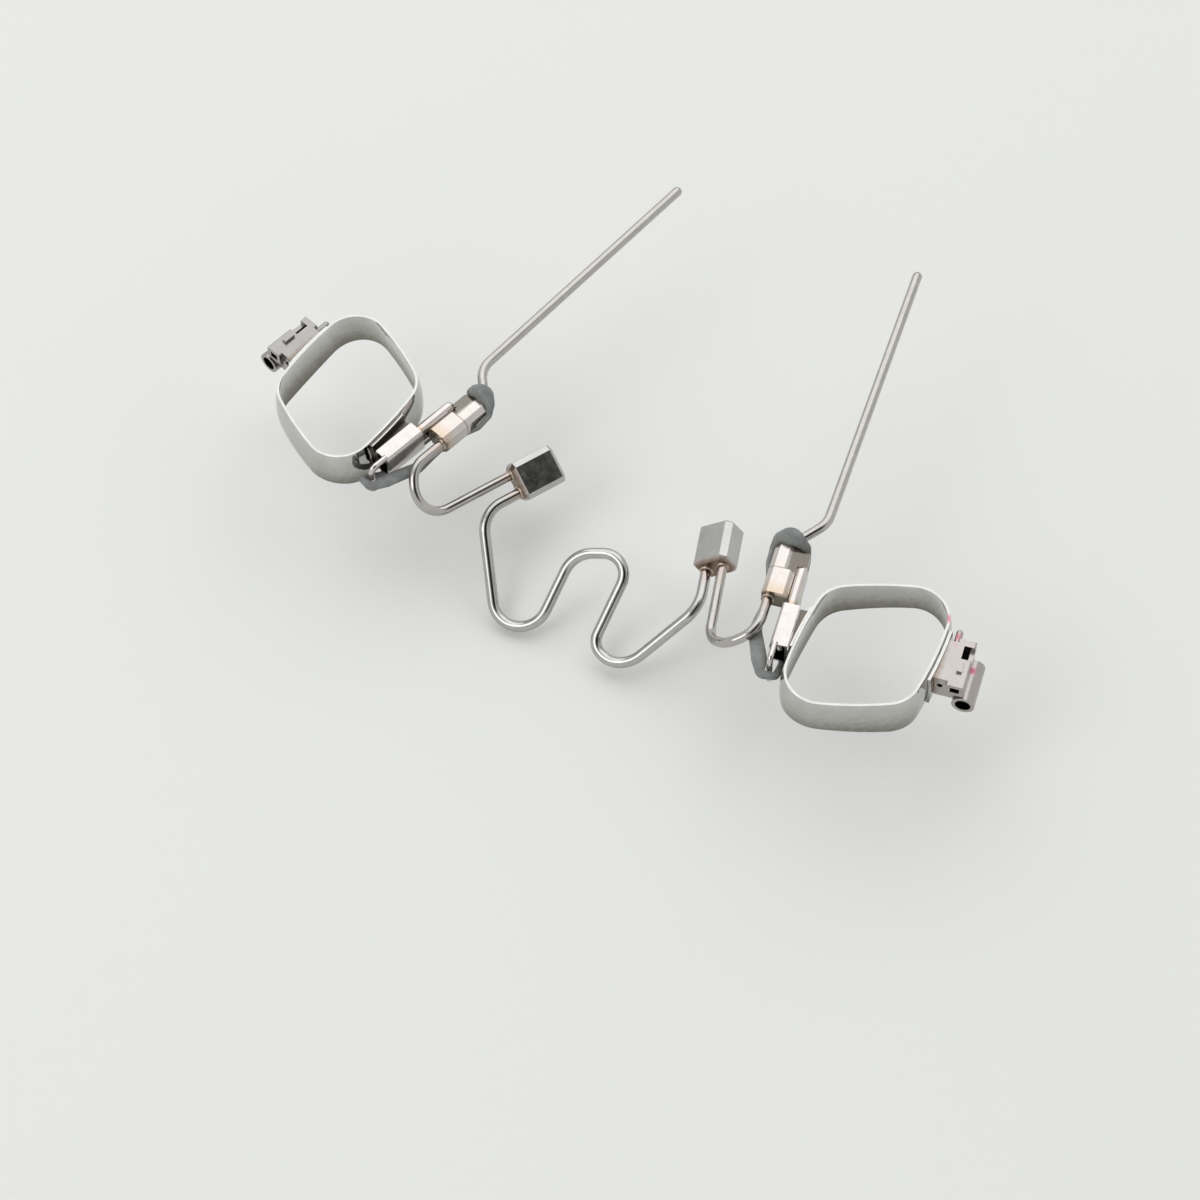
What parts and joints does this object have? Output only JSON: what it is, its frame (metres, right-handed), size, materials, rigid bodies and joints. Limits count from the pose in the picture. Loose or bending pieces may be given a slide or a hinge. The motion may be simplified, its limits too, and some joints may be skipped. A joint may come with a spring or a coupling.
{
  "type": "palatal expander",
  "caption": "Orthodontic palatal expander: a W-shaped spring between crimp blocks, with looped wires, long arms and inserts that slide into sheaths on molar bands.",
  "frame": {"origin": "midway between the molar bands, on the plane of their biting-side rims", "axes": "+X across to the part's right band, +Y to the front teeth, +Z to the biting side"},
  "size_m": [0.0664, 0.0414, 0.011],
  "materials": {
    "band_steel": "polished stainless strip",
    "cast_steel": "satin cast stainless",
    "sheath_steel": "satin stainless",
    "wire_steel": "polished stainless wire",
    "block_steel": "polished, heat-tinted at the joints",
    "spring_alloy": "polished nickel-titanium wire",
    "elastic_rubber": "matt grey elastomer"
  },
  "bodies": {
    "right_molar": {"right_molar_band": "band_steel", "right_buccal_pad": "band_steel", "right_buccal_tube": "cast_steel", "right_lingual_sheath": "sheath_steel"},
    "right_half": {"right_sheath_insert": "wire_steel", "right_connector_block": "block_steel", "right_arm": "wire_steel", "right_loop_wire": "wire_steel", "right_crimp_block": "block_steel", "right_elastic": "elastic_rubber", "centre_spring": "spring_alloy"},
    "left_half": {"left_sheath_insert": "wire_steel", "left_connector_block": "block_steel", "left_arm": "wire_steel", "left_loop_wire": "wire_steel", "left_crimp_block": "block_steel", "left_elastic": "elastic_rubber"},
    "left_molar": {"left_molar_band": "band_steel", "left_buccal_pad": "band_steel", "left_buccal_tube": "cast_steel", "left_lingual_sheath": "sheath_steel"}
  },
  "joints": [
    {"name": "right_insert_slide", "type": "slide", "parent": "right_molar", "child": "right_half", "axis": [-0.2419, 0.9703, 0], "range_m": [0, 0.0042], "stiffness_N_per_m": 60, "deforming": ["right_elastic"]},
    {"name": "expansion", "type": "slide", "parent": "right_half", "child": "left_half", "axis": [-1, 0, 0], "range_m": [-0.004, 0.002], "stiffness_N_per_m": 100, "deforming": ["centre_spring"]},
    {"name": "left_insert_slide", "type": "slide", "parent": "left_half", "child": "left_molar", "axis": [-0.2419, -0.9703, 0], "range_m": [0, 0.0042], "stiffness_N_per_m": 60, "deforming": ["left_elastic"]}
  ]
}
